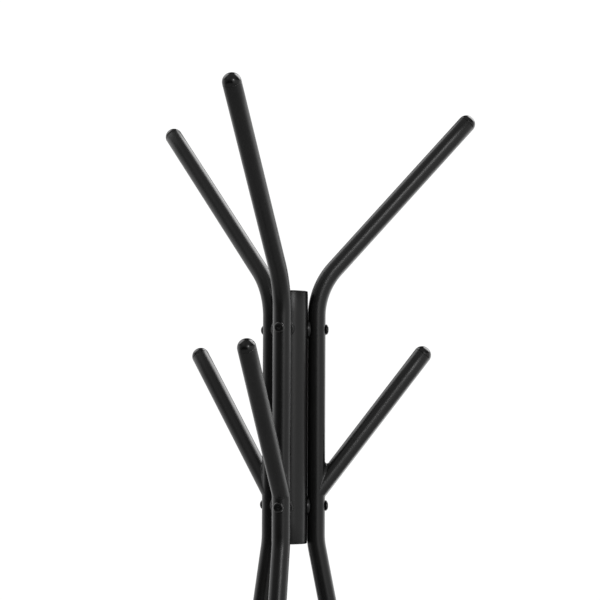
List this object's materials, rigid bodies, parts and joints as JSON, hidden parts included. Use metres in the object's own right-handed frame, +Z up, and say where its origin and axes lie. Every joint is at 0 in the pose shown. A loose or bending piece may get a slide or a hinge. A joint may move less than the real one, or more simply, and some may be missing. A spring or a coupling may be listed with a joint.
{
  "type": "coat rack",
  "caption": "Free-standing tube coat rack: bent tubes bolted round a short column, each a splayed leg below and an upper peg above, with a shorter peg welded on lower down.",
  "frame": {"origin": "centre of the rack's bounding box at floor level, where the feet rest", "axes": "+Z up along the column; -Y towards the front tube's leg and pegs; +X to the right seen from the front"},
  "size_m": [0.4954, 0.4328, 1.75],
  "materials": {
    "powder_coat": "satin black powder coat on steel tube",
    "cap_plastic": "semi-gloss black moulded plastic",
    "foot_rubber": "matt black rubber-like plastic",
    "spacer_plastic": "glossy black moulded plastic",
    "bolt_steel": "glossy black zinc on steel",
    "insert_steel": "bright zinc plate"
  },
  "bodies": {
    "root": {"column_tube": "powder_coat", "column_top_cap": "cap_plastic", "column_bottom_cap": "cap_plastic", "front_bent_tube": "powder_coat", "front_lower_peg": "powder_coat", "front_peg_weld": "powder_coat", "front_upper_cap": "cap_plastic", "front_lower_cap": "cap_plastic", "front_foot": "foot_rubber", "front_upper_bolt": "bolt_steel", "front_upper_spacer": "spacer_plastic", "front_upper_insert": "insert_steel", "front_lower_bolt": "bolt_steel", "front_lower_spacer": "spacer_plastic", "front_lower_insert": "insert_steel", "right_bent_tube": "powder_coat", "right_lower_peg": "powder_coat", "right_peg_weld": "powder_coat", "right_upper_cap": "cap_plastic", "right_lower_cap": "cap_plastic", "right_foot": "foot_rubber", "right_upper_bolt": "bolt_steel", "right_upper_spacer": "spacer_plastic", "right_upper_insert": "insert_steel", "right_lower_bolt": "bolt_steel", "right_lower_spacer": "spacer_plastic", "right_lower_insert": "insert_steel", "left_bent_tube": "powder_coat", "left_lower_peg": "powder_coat", "left_peg_weld": "powder_coat", "left_upper_cap": "cap_plastic", "left_lower_cap": "cap_plastic", "left_foot": "foot_rubber", "left_upper_bolt": "bolt_steel", "left_upper_spacer": "spacer_plastic", "left_upper_insert": "insert_steel", "left_lower_bolt": "bolt_steel", "left_lower_spacer": "spacer_plastic", "left_lower_insert": "insert_steel"}
  },
  "joints": []
}
